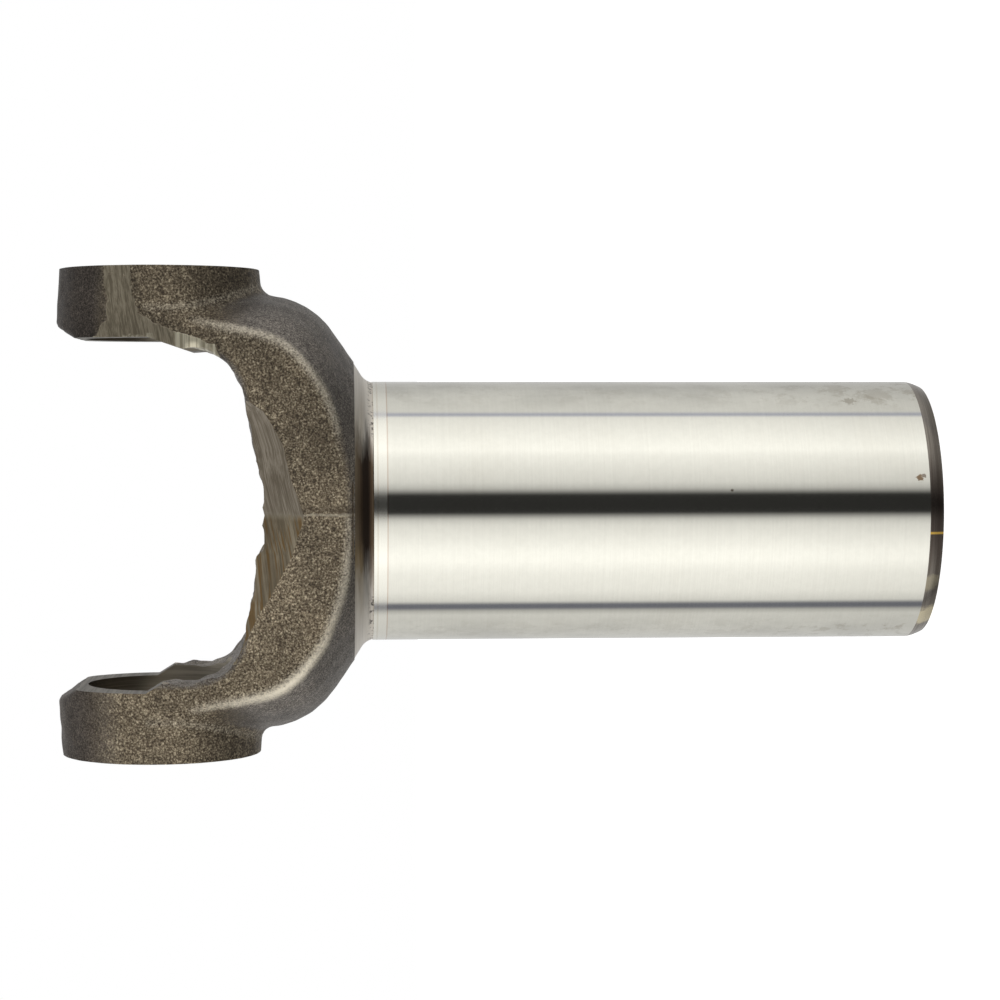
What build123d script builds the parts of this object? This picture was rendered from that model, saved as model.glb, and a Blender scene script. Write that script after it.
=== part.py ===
from build123d import *

import math
import os

# Slip yoke of a propeller shaft: one steel forging with two ears, a ground barrel and a splined bore.
# It stands on the flat end of its barrel. The origin is the middle of that end face, +Z runs up the
# barrel to the ears, X is the axis of the cross bore and Y is the depth of the ears.
# Lengths are in millimetres and angles in degrees.

# Barrel, ground outside to run in a seal and a bush
BARREL_OD = 47.88
LEAD_CHAMFER_LENGTH = 2.6
LEAD_CHAMFER_DEPTH = 0.85

# Shoulder under the head, reached by a turned fillet and a steep cone
SHOULDER_HEIGHT = 105.6
SHOULDER_STEP = 3.66
SHOULDER_LAND = 0.25
TURNED_FILLET = 2.5
TURNED_CONE_ANGLE = 50.0

# Cross bore and the two ears that carry it
CROSS_RISE = 35.6
CROSS_BORE = 26.99
CROSS_BORE_CHAMFER = 0.5
EAR_SPAN = 89.1
EAR_THICKNESS = 12.8
EAR_FACE_DIA = 36.4
EAR_TIP_CUT_WIDTH = 2.8
EAR_TIP_CUT_HEIGHT = 3.2
FORGING_DRAFT = 4.0

# Snap ring grooves near the outer ends of the cross bore
RING_GROOVE_DIA = 29.0
RING_GROOVE_WIDTH = 1.6
RING_GROOVE_INSET = 2.1

# Outside of the raw forging: a cone, an arc and a cylinder in turn, with flanks front and back
BOSS_STAND = 4.7
BELL_CONE_ANGLE = 55.0
BELL_ARC_RADIUS = 15.5
BASE_HALF_DEPTH = 28.3
BASE_RISE = 8.0
FLANK_ANGLE = 18.0
BOSS_FOOT_FILLET = 2.4
RIDGE_FILLET = 0.7

# Gap between the ears: milled near their tips, as forged below
MILLED_STEP = 1.85
MILLED_DEPTH = 18.9
MILLED_RUNOUT = 5.6
CROTCH_DEPTH = 18.5
CROTCH_FLOOR_RADIUS = 94.0
CROTCH_CORNER_RADIUS = 10.0

# Places where the flash was ground off
CROTCH_FACET_RISE = 9.3
CROTCH_FACET_SLOPE = 36.0
CROTCH_FACET_VEE = 14.5
CROTCH_FACET_END = 3.6
CROTCH_FACET_END_ANGLE = 67.0
EAR_FLAT_ANGLE = 66.0
EAR_FLAT_DEPTH = 0.2

# Bore of the barrel, from the open end upwards
MOUTH_DIA = 37.0
MOUTH_DEPTH = 9.0
MOUTH_CHAMFER = 1.0
SPLINE_TEETH = 32
SPLINE_PITCH_DIA = 33.87
SPLINE_ROOT_DIA = 35.2
SPLINE_TIP_DIA = 32.8
SPLINE_PRESSURE_ANGLE = 30.0

# Pressed steel cup that closes the bore at the crotch, and the seat it is pressed into
PLUG_DIA = 38.0
PLUG_DEPTH_BELOW_CROTCH = 5.7
PLUG_SHEET = 1.6
PLUG_RIM_HEIGHT = 3.6
PLUG_VENT_DIA = 3.2

# Places that follow from the sizes above
BARREL_R = BARREL_OD / 2
SHOULDER_RADIUS = BARREL_R + SHOULDER_STEP
ARM_RADIUS = EAR_SPAN / 2 - BOSS_STAND
CROSS_HEIGHT = SHOULDER_HEIGHT + CROSS_RISE
EAR_GAP = EAR_SPAN - 2 * EAR_THICKNESS
BASE_HEIGHT = SHOULDER_HEIGHT + BASE_RISE
CROTCH_HEIGHT = CROSS_HEIGHT - CROTCH_DEPTH
PLUG_SEAT_HEIGHT = CROTCH_HEIGHT - PLUG_DEPTH_BELOW_CROTCH
RAW_GAP = EAR_GAP - 2 * MILLED_STEP
DRAFT_SLOPE = math.tan(math.radians(FORGING_DRAFT))
PARTING_EAR_RADIUS = EAR_FACE_DIA / 2 + DRAFT_SLOPE * EAR_SPAN / 2
BELL_SLOPE = math.tan(math.radians(BELL_CONE_ANGLE))
BELL_CORNER_HEIGHT = SHOULDER_HEIGHT + (ARM_RADIUS - SHOULDER_RADIUS) / BELL_SLOPE
BELL_TANGENT = BELL_ARC_RADIUS * math.tan(math.radians(BELL_CONE_ANGLE / 2))
BELL_ARC_TOP = BELL_CORNER_HEIGHT + BELL_TANGENT
BELL_ARC_FOOT = BELL_CORNER_HEIGHT - BELL_TANGENT * math.cos(math.radians(BELL_CONE_ANGLE))

# Room that cutters and rough shapes have beyond the finished faces, and how near an edge lies to its faces
SPARE = 20.0
NEAR = 0.3
TOP = CROSS_HEIGHT + PARTING_EAR_RADIUS + SPARE
UPRIGHT = (Align.CENTER, Align.CENTER, Align.MIN)


def flip(point):
    return (-point[0], point[1])


def turned(outline):
    """A solid of revolution about the barrel's axis, from an outline of radius and height."""
    return revolve(Plane.XZ * make_face(outline), Axis.Z)


def bell():
    """Turned envelope of the head, from the shoulder to the outside of the arms."""
    wall = FilletPolyline(
        (SHOULDER_RADIUS, SHOULDER_HEIGHT), (ARM_RADIUS, BELL_CORNER_HEIGHT), (ARM_RADIUS, TOP),
        radius=BELL_ARC_RADIUS,
    )
    core = Polyline(
        (ARM_RADIUS, TOP), (0, TOP), (0, SHOULDER_HEIGHT), (SHOULDER_RADIUS, SHOULDER_HEIGHT),
    )
    return turned(wall + core)


def bell_radius(height):
    """Radius of that envelope at a height above the shoulder."""
    if height >= BELL_ARC_TOP:
        return ARM_RADIUS
    if height >= BELL_ARC_FOOT:
        return ARM_RADIUS - BELL_ARC_RADIUS + math.sqrt(BELL_ARC_RADIUS**2 - (BELL_ARC_TOP - height) ** 2)
    return SHOULDER_RADIUS + (height - SHOULDER_HEIGHT) * BELL_SLOPE


def flank_outline():
    """Outline of the arms seen along the cross bore, at the parting plane."""
    foot_y = BASE_HALF_DEPTH
    end_y = foot_y - (CROSS_HEIGHT - BASE_HEIGHT) * math.tan(math.radians(FLANK_ANGLE))
    below = SHOULDER_HEIGHT - SPARE
    base = Polyline(
        (-foot_y, below), (foot_y, below), (foot_y, BASE_HEIGHT), (end_y, CROSS_HEIGHT),
        (-end_y, CROSS_HEIGHT), (-foot_y, BASE_HEIGHT), (-foot_y, below),
    )
    return make_face(base) + Pos(0, CROSS_HEIGHT) * Circle(PARTING_EAR_RADIUS)


def drafted_both_ways(outline, half_length):
    """A solid that narrows by the draft angle from the parting plane out to both sides."""
    half = extrude(Plane.YZ * outline, half_length, taper=FORGING_DRAFT)
    return half + mirror(half, Plane.YZ)


def lies_on(edge, distance):
    """Whether an edge lies on a surface, from the distance of a few of its points."""
    return all(distance(edge.position_at(t)) < NEAR for t in (0.2, 0.5, 0.8))


def off_bell(p):
    return abs(math.hypot(p.X, p.Y) - bell_radius(p.Z))


def off_flank(p):
    lean = max(0.0, p.Z - BASE_HEIGHT) * math.tan(math.radians(FLANK_ANGLE))
    return abs(abs(p.Y) - BASE_HALF_DEPTH + lean + DRAFT_SLOPE * abs(p.X))


def off_boss(p):
    wall = PARTING_EAR_RADIUS - DRAFT_SLOPE * abs(p.X)
    return abs(math.hypot(p.Y, p.Z - CROSS_HEIGHT) - wall)


def drafted_head():
    """Arms and ear bosses as forged: ridges rounded, each boss blended into its arm at the foot."""
    arms = (bell() & drafted_both_ways(flank_outline(), EAR_SPAN / 2)).clean()
    ridges = [e for e in arms.edges() if lies_on(e, off_bell) and lies_on(e, off_flank)]
    arms = fillet(ridges, RIDGE_FILLET)
    bosses = drafted_both_ways(Pos(0, CROSS_HEIGHT) * Circle(PARTING_EAR_RADIUS), EAR_SPAN / 2)
    solid = (arms + bosses).clean()
    feet = [
        e for e in solid.edges()
        if e.center().Z < CROSS_HEIGHT and lies_on(e, off_bell) and lies_on(e, off_boss)
    ]
    return fillet(feet, BOSS_FOOT_FILLET)


def barrel():
    """Ground barrel with its lead-in chamfer, and the turned fillet and cone under the head."""
    cone_end = SHOULDER_RADIUS - SHOULDER_LAND
    corner = SHOULDER_HEIGHT - (cone_end - BARREL_R) / math.tan(math.radians(TURNED_CONE_ANGLE))
    neck = FilletPolyline(
        (BARREL_R, LEAD_CHAMFER_LENGTH), (BARREL_R, corner), (cone_end, SHOULDER_HEIGHT),
        radius=TURNED_FILLET,
    )
    foot = Polyline((0, 0), (BARREL_R - LEAD_CHAMFER_DEPTH, 0), (BARREL_R, LEAD_CHAMFER_LENGTH))
    core = Polyline((cone_end, SHOULDER_HEIGHT), (BARREL_R, BASE_HEIGHT), (0, BASE_HEIGHT), (0, 0))
    return turned(foot + neck + core)


def crotch():
    """The gap between the ears: milled faces, run-outs, corner arcs and a slightly hollow floor."""
    milled = EAR_GAP / 2
    raw = RAW_GAP / 2
    corner = CROTCH_CORNER_RADIUS
    floor_centre = CROTCH_HEIGHT + CROTCH_FLOOR_RADIUS
    corner_x = raw - corner
    corner_z = floor_centre - math.sqrt((CROTCH_FLOOR_RADIUS - corner) ** 2 - corner_x**2)
    toward = math.atan2(corner_z - floor_centre, corner_x)
    touch = (corner_x + corner * math.cos(toward), corner_z + corner * math.sin(toward))
    bow = (corner_x + corner * math.cos(toward / 2), corner_z + corner * math.sin(toward / 2))
    tip = CROSS_HEIGHT + PARTING_EAR_RADIUS - DRAFT_SLOPE * milled
    milled_end = tip - MILLED_DEPTH
    side = [
        (raw, corner_z), (raw, milled_end - MILLED_RUNOUT), (milled, milled_end),
        (milled, tip - EAR_TIP_CUT_HEIGHT), (milled + EAR_TIP_CUT_WIDTH, tip),
        (milled + EAR_TIP_CUT_WIDTH, TOP + SPARE),
    ]
    outline = (
        ThreePointArc(flip(touch), (0, CROTCH_HEIGHT), touch)
        + ThreePointArc(touch, bow, side[0])
        + Polyline(*side, *[flip(p) for p in reversed(side)])
        + ThreePointArc(flip(side[0]), flip(bow), flip(touch))
    )
    return extrude(Plane.XZ * make_face(outline), BASE_HALF_DEPTH + SPARE, both=True)


def crotch_facets():
    """Ground facets on the front and back edges of the crotch, each two planes that meet in a vee."""
    wall = RAW_GAP / 2
    bend = wall - CROTCH_FACET_END
    bend_z = bend * math.tan(math.radians(CROTCH_FACET_VEE))
    wall_z = bend_z + CROTCH_FACET_END * math.tan(math.radians(CROTCH_FACET_END_ANGLE))
    side = [(bend, bend_z), (wall, wall_z), (wall, TOP - SHOULDER_HEIGHT)]
    vee = make_face(Polyline((0, 0), *side, *[flip(p) for p in reversed(side)], (0, 0)))
    slope = math.tan(math.radians(CROTCH_FACET_SLOPE))
    foot = (0, -BASE_HALF_DEPTH, SHOULDER_HEIGHT + CROTCH_FACET_RISE)
    start = Plane(foot, x_dir=(1, 0, 0), z_dir=(0, -1, 0))
    inward = extrude(start * vee, BASE_HALF_DEPTH, dir=(0, 1, slope))
    outward = extrude(start * vee, SPARE, dir=(0, -1, -slope))
    front = inward + outward
    return front + mirror(front, Plane.XZ)


def ear_flat():
    """Narrow flat ground across the front of one ear, in line with the draft of its wall."""
    around = math.radians(EAR_FLAT_ANGLE)
    radial = Vector(0, -math.sin(around), math.cos(around))
    outward = (radial + Vector(DRAFT_SLOPE, 0, 0)).normalized()
    middle_x = (EAR_SPAN + RAW_GAP) / 4
    wall = PARTING_EAR_RADIUS - DRAFT_SLOPE * middle_x
    foot = Vector(middle_x, 0, CROSS_HEIGHT) + radial * (wall - EAR_FLAT_DEPTH)
    along = Vector(1, 0, 0) - outward * outward.X
    block = Box((EAR_SPAN - RAW_GAP) / 2 + EAR_TIP_CUT_WIDTH, SPARE * 2, SPARE, align=UPRIGHT)
    return Plane(foot, x_dir=along, z_dir=outward) * block


def cross_bore():
    """Bore through both ears, chamfered where the caps go in, with the two snap ring grooves."""
    r = CROSS_BORE / 2
    chamfer = CROSS_BORE_CHAMFER
    groove_r = RING_GROOVE_DIA / 2
    outer = EAR_SPAN / 2
    groove_out = outer - RING_GROOVE_INSET
    groove_in = groove_out - RING_GROOVE_WIDTH
    side = [
        (groove_in, r), (groove_in, groove_r),
        (groove_out, groove_r), (groove_out, r), (outer - chamfer, r), (outer + chamfer, r + 2 * chamfer),
        (outer + chamfer, 0),
    ]
    outline = Polyline(*[flip(p) for p in reversed(side)], *side, flip(side[-1]))
    cutter = revolve(Plane.XZ * make_face(outline), Axis.X)
    return Pos(0, 0, CROSS_HEIGHT) * cutter


def spline_outline():
    """Section of the splined bore: straight-sided spaces between teeth that point inwards."""
    pitch_r = SPLINE_PITCH_DIA / 2
    tip_r = SPLINE_TIP_DIA / 2
    root_r = SPLINE_ROOT_DIA / 2
    pitch_space = math.pi * SPLINE_PITCH_DIA / (2 * SPLINE_TEETH)
    lean = 2 * math.tan(math.radians(SPLINE_PRESSURE_ANGLE))
    root_half = (pitch_space - lean * (root_r - pitch_r)) / 2 / root_r
    tip_half = (pitch_space + lean * (pitch_r - tip_r)) / 2 / tip_r
    corners = []
    for tooth in range(SPLINE_TEETH):
        middle = 2 * math.pi * tooth / SPLINE_TEETH
        for radius, angle in (
            (tip_r, middle - tip_half), (root_r, middle - root_half),
            (root_r, middle + root_half), (tip_r, middle + tip_half),
        ):
            corners.append((radius * math.cos(angle), radius * math.sin(angle)))
    return make_face(Polyline(*corners, corners[0]))


def barrel_bore():
    """Everything cut from the middle of the barrel: mouth, broached spline and the seat of the plug."""
    mouth_r = MOUTH_DIA / 2
    mouth = turned(Polyline(
        (0, -MOUTH_CHAMFER), (mouth_r + 2 * MOUTH_CHAMFER, -MOUTH_CHAMFER), (mouth_r, MOUTH_CHAMFER),
        (mouth_r, MOUTH_DEPTH), (0, MOUTH_DEPTH), (0, -MOUTH_CHAMFER),
    ))
    spline = Pos(0, 0, MOUTH_DEPTH) * extrude(spline_outline(), PLUG_SEAT_HEIGHT - MOUTH_DEPTH)
    seat = Pos(0, 0, PLUG_SEAT_HEIGHT) * Cylinder(PLUG_DIA / 2, SPARE, align=UPRIGHT)
    return mouth + spline + seat


def yoke():
    forging = drafted_head() + barrel() - crotch() - crotch_facets() - ear_flat()
    return forging - cross_bore() - barrel_bore()


def seal_plug():
    """Shallow pressed cup, open side down, with a vent in the middle."""
    outer = PLUG_DIA / 2
    inner = outer - PLUG_SHEET
    bottom = PLUG_SEAT_HEIGHT
    rim = bottom + PLUG_RIM_HEIGHT
    under = rim - PLUG_SHEET
    vent = PLUG_VENT_DIA / 2
    return turned(Polyline(
        (vent, under), (inner, under), (inner, bottom), (outer, bottom), (outer, rim), (vent, rim),
        (vent, under),
    ))


os.makedirs("parts", exist_ok=True)
export_step(yoke(), "parts/yoke.step")
export_step(seal_plug(), "parts/seal_plug.step")
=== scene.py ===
import math

import bmesh
import bpy
import numpy as np
from mathutils import Matrix, Vector


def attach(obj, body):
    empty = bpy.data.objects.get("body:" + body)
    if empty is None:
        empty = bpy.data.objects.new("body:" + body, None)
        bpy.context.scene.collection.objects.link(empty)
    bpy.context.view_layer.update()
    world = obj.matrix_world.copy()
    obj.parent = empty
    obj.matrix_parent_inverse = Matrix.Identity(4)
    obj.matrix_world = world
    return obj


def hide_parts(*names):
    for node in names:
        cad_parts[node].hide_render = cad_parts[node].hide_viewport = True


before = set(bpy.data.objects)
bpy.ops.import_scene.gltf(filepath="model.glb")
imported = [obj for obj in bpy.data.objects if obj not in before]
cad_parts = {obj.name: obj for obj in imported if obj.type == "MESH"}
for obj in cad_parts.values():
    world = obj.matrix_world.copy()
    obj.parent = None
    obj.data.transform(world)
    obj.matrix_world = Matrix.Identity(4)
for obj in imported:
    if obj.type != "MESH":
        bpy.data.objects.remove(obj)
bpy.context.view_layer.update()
MM = 0.001

# Camera
# A long lens looks square at the yoke, which stands on its barrel. The camera is rolled a quarter
# turn, so the barrel points to the right of the picture, and it is swung a few degrees about the ear axis.
VIEW_DISTANCE = 482.63 * MM
VIEW_SWING = math.radians(3.621)
VIEW_DIP = math.radians(2.080)
VIEW_ROLL = math.radians(0.046)
VIEW_SHIFT = 1.926 * MM
VIEW_AIM_HEIGHT = 78.412 * MM
FOCAL_PIXELS = 2588.1
PICTURE_PIXELS = 1000
SENSOR = 36.0
NEAREST = 0.01
FARTHEST = 20

swing = Matrix.Rotation(VIEW_SWING, 3, "Y")
dip = Matrix.Rotation(VIEW_DIP, 3, "X")
roll = Matrix.Rotation(VIEW_ROLL, 3, "Z")
to_view = roll @ dip @ swing
lying_to_standing = Matrix(((0, 1, 0), (0, 0, -1), (-1, 0, 0)))
view_axes = lying_to_standing @ to_view.transposed()
camera = bpy.data.objects.new("camera", bpy.data.cameras.new("camera"))
bpy.context.scene.collection.objects.link(camera)
camera.data.sensor_width = SENSOR
camera.data.lens = FOCAL_PIXELS * SENSOR / PICTURE_PIXELS
camera.data.clip_start = NEAREST
camera.data.clip_end = FARTHEST
place = view_axes @ Vector((0, VIEW_SHIFT, VIEW_DISTANCE)) + Vector((0, 0, VIEW_AIM_HEIGHT))
camera.matrix_world = Matrix.Translation(place) @ view_axes.to_4x4()
bpy.context.scene.camera = camera
bpy.context.scene.view_settings.view_transform = "Standard"

# Studio
# Two tall soft lights stand left and right of the camera with a dark gap between them. Each is brightest
# in its middle, and pale paper hangs behind, past a dark seam. They are bands of the sky, given as
# compass angles from the front and their strengths, so the round barrel mirrors them as long stripes.
GLOW = (
    (-180, 0.62), (-130, 0.66), (-104, 0.76), (-98, 0.54), (-94.6, 0.18), (-89.8, 0.18), (-85.8, 0.82),
    (-74, 1.05), (-56, 1.15), (-48, 1.26), (-43, 1.34), (-35, 1.31), (-24, 1.15), (-11, 0.95),
    (-6, 0.74), (0, 0.03), (16, 0.03), (21.5, 0.62), (27, 0.85), (42, 1.05), (51, 1.17), (57, 1.32),
    (63, 1.28), (80, 1.11), (93, 0.98), (95.5, 0.49), (97.5, 0.49), (100, 0.80), (118, 0.72),
    (145, 0.56), (180, 0.60),
)
SEAMS = (-94.6, -89.8, 95.5, 97.5)
SEAM_TINT = (0.97, 1.01, 1.25)
GLOW_BY_HEIGHT = ((-1.0, 0.38), (-0.72, 0.42), (-0.30, 1.0), (0.45, 1.0), (0.85, 0.62), (1.0, 0.55))
WHITE = (1, 1, 1, 1)


def add_node(tree, kind, **values):
    node = tree.nodes.new(kind)
    for name, value in values.items():
        setattr(node, name, value)
    return node


def feed(tree, socket, value):
    """Give a socket its value, which is a plain one or the result of another node."""
    if isinstance(value, bpy.types.NodeSocket):
        tree.links.new(value, socket)
    else:
        socket.default_value = value


def math_node(tree, operation, *values):
    node = add_node(tree, "ShaderNodeMath", operation=operation)
    for socket, value in zip(node.inputs, values):
        feed(tree, socket, value)
    return node.outputs[0]


def times(tree, first, second):
    return math_node(tree, "MULTIPLY", first, second)


def plus(tree, first, second):
    return math_node(tree, "ADD", first, second)


def minus(tree, first, second):
    return math_node(tree, "SUBTRACT", first, second)


def scaled(tree, value, by, lift):
    """A value times one number, with a second number added."""
    return math_node(tree, "MULTIPLY_ADD", value, by, lift)


def unsigned(tree, value):
    return math_node(tree, "ABSOLUTE", value)


def ramp_node(tree, factor, stops):
    node = add_node(tree, "ShaderNodeValToRGB")
    elements = node.color_ramp.elements
    while len(elements) < len(stops):
        elements.new(0.5)
    for element, (position, colour) in zip(elements, stops):
        element.position = position
        element.color = (*colour, 1)
    tree.links.new(factor, node.inputs[0])
    return node.outputs[0]


world = bpy.data.worlds.new("studio")
bpy.context.scene.world = world
world.use_nodes = True
tree = world.node_tree
tree.nodes.clear()
sky = add_node(tree, "ShaderNodeTexCoord")
split = add_node(tree, "ShaderNodeSeparateXYZ")
tree.links.new(sky.outputs["Generated"], split.inputs[0])
around = math_node(tree, "ARCTAN2", split.outputs["X"], times(tree, split.outputs["Y"], -1.0))
turn = scaled(tree, around, 1 / math.tau, 0.5)
stops = []
for angle, glow in GLOW:
    tint = SEAM_TINT if angle in SEAMS else (1, 1, 1)
    stops.append(((angle + 180) / 360, tuple(glow * share for share in tint)))
strips = ramp_node(tree, turn, stops)
stops = [((height + 1) / 2, (glow, glow, glow)) for height, glow in GLOW_BY_HEIGHT]
fade = ramp_node(tree, scaled(tree, split.outputs["Z"], 0.5, 0.5), stops)
light = add_node(tree, "ShaderNodeBackground")
tree.links.new(strips, light.inputs["Color"])
tree.links.new(fade, light.inputs["Strength"])
paper = add_node(tree, "ShaderNodeBackground")
paper.inputs["Color"].default_value = WHITE
rays = add_node(tree, "ShaderNodeLightPath")
pick = add_node(tree, "ShaderNodeMixShader")
tree.links.new(rays.outputs["Is Camera Ray"], pick.inputs[0])
tree.links.new(light.outputs[0], pick.inputs[1])
tree.links.new(paper.outputs[0], pick.inputs[2])
output = add_node(tree, "ShaderNodeOutputWorld")
tree.links.new(pick.outputs[0], output.inputs["Surface"])

# Floor
# Plain white board under the barrel's end. It is lifted to white for the camera and keeps a soft shadow.
FLOOR_HALF = 3.0
FLOOR_GREY = (0.8, 0.8, 0.8, 1)
FLOOR_ROUGHNESS = 0.9
FLOOR_LIFT = 0.85


def new_material(name):
    material = bpy.data.materials.new(name)
    material.use_nodes = True
    tree = material.node_tree
    tree.nodes.clear()
    surface = add_node(tree, "ShaderNodeBsdfPrincipled")
    output = add_node(tree, "ShaderNodeOutputMaterial")
    tree.links.new(surface.outputs[0], output.inputs["Surface"])
    return material, tree, surface


board, tree, surface = new_material("white_board")
surface.inputs["Base Color"].default_value = FLOOR_GREY
surface.inputs["Roughness"].default_value = FLOOR_ROUGHNESS
surface.inputs["Specular IOR Level"].default_value = 0.0
surface.inputs["Emission Color"].default_value = WHITE
rays = add_node(tree, "ShaderNodeLightPath")
lift = times(tree, rays.outputs["Is Camera Ray"], FLOOR_LIFT)
tree.links.new(lift, surface.inputs["Emission Strength"])
mesh = bpy.data.meshes.new("floor")
corners = [(x * FLOOR_HALF, y * FLOOR_HALF, 0) for x, y in ((-1, -1), (1, -1), (1, 1), (-1, 1))]
mesh.from_pydata(corners, [], [(0, 1, 2, 3)])
mesh.materials.append(board)
floor = bpy.data.objects.new("floor", mesh)
bpy.context.scene.collection.objects.link(floor)
floor.visible_glossy = False

# Forging
# The head is drop forged in steel: a turned bell with flat flanks, and a boss on the end of each arm.
# Its skin is left lumpy by the dies and the shot blasting. It is modelled here as one field of distances
# with stock on every face that is machined later, and the mesh is drawn over the zero surface of that field.
SHOULDER_HEIGHT = 105.6
SHOULDER_RADIUS = 27.6
CROSS_HEIGHT = 141.2
EAR_SPAN = 89.1
EAR_GAP = 63.5
EAR_RADIUS = 21.315
DRAFT = math.tan(math.radians(4.0))
ARM_RADIUS = 39.85
BELL_CONE = math.radians(55.0)
BELL_ARC_RADIUS = 15.5
BELL_ARC_HEIGHT = 122.248
BASE_HALF_DEPTH = 28.3
BASE_HEIGHT = 113.6
BASE_EDGE_ROUND = 0.6
FLANK_LEAN = math.radians(18.0)
RAW_HALF_GAP = 29.9
CROTCH_HEIGHT = 122.7
CROTCH_FLOOR_RADIUS = 94.0
CROTCH_CORNER_RADIUS = 10.0
RIDGE_ROUND = 1.0
BOSS_FOOT_ROUND = 2.4
TIP_ROUND = 0.8
TIP_CUT = (2.6, 4.4)
EDGE_ROUND = 0.5
STOCK = 1.2
SKIN_STEP = 0.7
SKIN_LUMP = 0.04
CROTCH_LUMP = 0.17
FIELD_MARGIN = (3, 2, 3)
BLANK_FOOT = 2
SETTLING_ROUNDS = 3
SETTLING_REACH = 0.3
LEAST_STEEP = 0.25
# Place, radius and height of each burr; a negative height is a dent
BURRS = (
    ((30.4, -19.6, 136.6), 1.8, 0.40), ((30.0, -20.3, 133.2), 1.3, 0.25), ((-30.9, 18.6, 140.9), 1.3, 1.20),
    ((-30.1, 19.6, 136.2), 1.6, 0.50), ((-30.0, -20.4, 132.4), 1.2, 0.30), ((30.3, 19.4, 137.0), 1.6, 0.50),
    ((4.2, -18.8, 122.4), 2.8, -1.30), ((4.2, 18.8, 122.4), 2.8, -1.30), ((-4.4, -18.8, 122.4), 3.0, -1.30),
    ((-4.4, 18.8, 122.4), 3.0, -1.30), ((-10.0, 17.2, 124.4), 2.4, 1.10), ((9.0, 17.6, 124.0), 2.2, 0.90),
)


def ripples(count, shortest, longest, seed):
    """Smooth unevenness with a spread of 1, as the sum of many faint ripples that run every way."""
    chance = np.random.default_rng(seed)
    ways = chance.normal(size=(count, 3))
    ways /= np.linalg.norm(ways, axis=1)[:, None]
    ways *= (math.tau / chance.uniform(shortest, longest, count))[:, None]
    phases = chance.uniform(0, math.tau, count)

    def height(x, y, z):
        total = np.zeros_like(x)
        for way, phase in zip(ways, phases):
            total += np.sin(way[0] * x + way[1] * y + way[2] * z + phase)
        return total * math.sqrt(2 / count)

    return height


skin_lumps = ripples(count=40, shortest=2.2, longest=9.0, seed=11)
crotch_lumps = ripples(count=40, shortest=2.4, longest=8.0, seed=23)


def rounded_edge(a, b, radius):
    """Distance to the corner between two faces, rounded off; both distances are negative inside."""
    corner = np.hypot(np.maximum(a + radius, 0), np.maximum(b + radius, 0))
    return np.minimum(np.maximum(a, b), -radius) + corner


def rounded_corner(a, b, radius):
    """The same for a hollow corner between two bodies that are joined."""
    return -rounded_edge(-a, -b, radius)


def bell_field(x, y, z):
    radius = np.hypot(x, y)
    across = radius - ARM_RADIUS + BELL_ARC_RADIUS
    above = z - BELL_ARC_HEIGHT
    arc = np.hypot(across, above) - BELL_ARC_RADIUS
    cone = (radius - SHOULDER_RADIUS) * math.cos(BELL_CONE) - (z - SHOULDER_HEIGHT) * math.sin(BELL_CONE)
    on_cone = math.cos(BELL_CONE) * above + math.sin(BELL_CONE) * across < 0
    return np.where(above > 0, radius - ARM_RADIUS, np.where(on_cone, cone, arc))


def flank_field(x, y, z):
    side = np.abs(y) - BASE_HALF_DEPTH + DRAFT * np.abs(x)
    leaning = side * math.cos(FLANK_LEAN) + (z - BASE_HEIGHT) * math.sin(FLANK_LEAN)
    return rounded_edge(side, leaning, BASE_EDGE_ROUND)


def boss_field(x, y, z):
    return np.hypot(y, z - CROSS_HEIGHT) - EAR_RADIUS + DRAFT * np.abs(x)


def crotch_field(x, y, z):
    centre_x = RAW_HALF_GAP - CROTCH_CORNER_RADIUS
    centre_of_floor = CROTCH_HEIGHT + CROTCH_FLOOR_RADIUS
    drop = math.sqrt((CROTCH_FLOOR_RADIUS - CROTCH_CORNER_RADIUS) ** 2 - centre_x**2)
    centre_z = centre_of_floor - drop
    across = np.abs(x) - centre_x
    above = z - centre_z
    corner = np.hypot(across, above) - CROTCH_CORNER_RADIUS
    floor = np.hypot(x, z - centre_of_floor) - CROTCH_FLOOR_RADIUS
    below_corner = across * drop + above * centre_x < 0
    return np.where(above > 0, across - CROTCH_CORNER_RADIUS, np.where(below_corner, floor, corner))


def head_field(x, y, z):
    """Distance in millimetres from the raw skin of the head, negative in the steel."""
    bell = bell_field(x, y, z)
    flank = np.maximum(flank_field(x, y, z), z - CROSS_HEIGHT)
    arms = rounded_edge(bell, flank, RIDGE_ROUND)
    head = rounded_corner(arms, boss_field(x, y, z), BOSS_FOOT_ROUND)
    tip_height = CROSS_HEIGHT + EAR_RADIUS - DRAFT * EAR_GAP / 2
    tip = TIP_CUT[1] * (EAR_GAP / 2 - np.abs(x)) + TIP_CUT[0] * (z - tip_height + TIP_CUT[1])
    tip = np.minimum(tip / math.hypot(*TIP_CUT), z - CROSS_HEIGHT)
    head = rounded_edge(head, tip, TIP_ROUND)
    gap = crotch_field(x, y, z) + CROTCH_LUMP * crotch_lumps(x, y, z)
    for middle, radius, height in BURRS:
        away = (x - middle[0]) ** 2 + (y - middle[1]) ** 2 + (z - middle[2]) ** 2
        gap = gap + height * np.exp(-away / radius**2)
    head = rounded_edge(head, -gap, EDGE_ROUND)
    return np.maximum(head, np.abs(x) - EAR_SPAN / 2 - STOCK)


def uphill(field, points, reach=0.05):
    """Steepest slope of a field at many points, from its change over a short way along each axis."""
    slopes = []
    for way in np.eye(3) * reach:
        slopes.append((field(*(points + way).T) - field(*(points - way).T)) / (2 * reach))
    return np.stack(slopes, axis=1)


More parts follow.
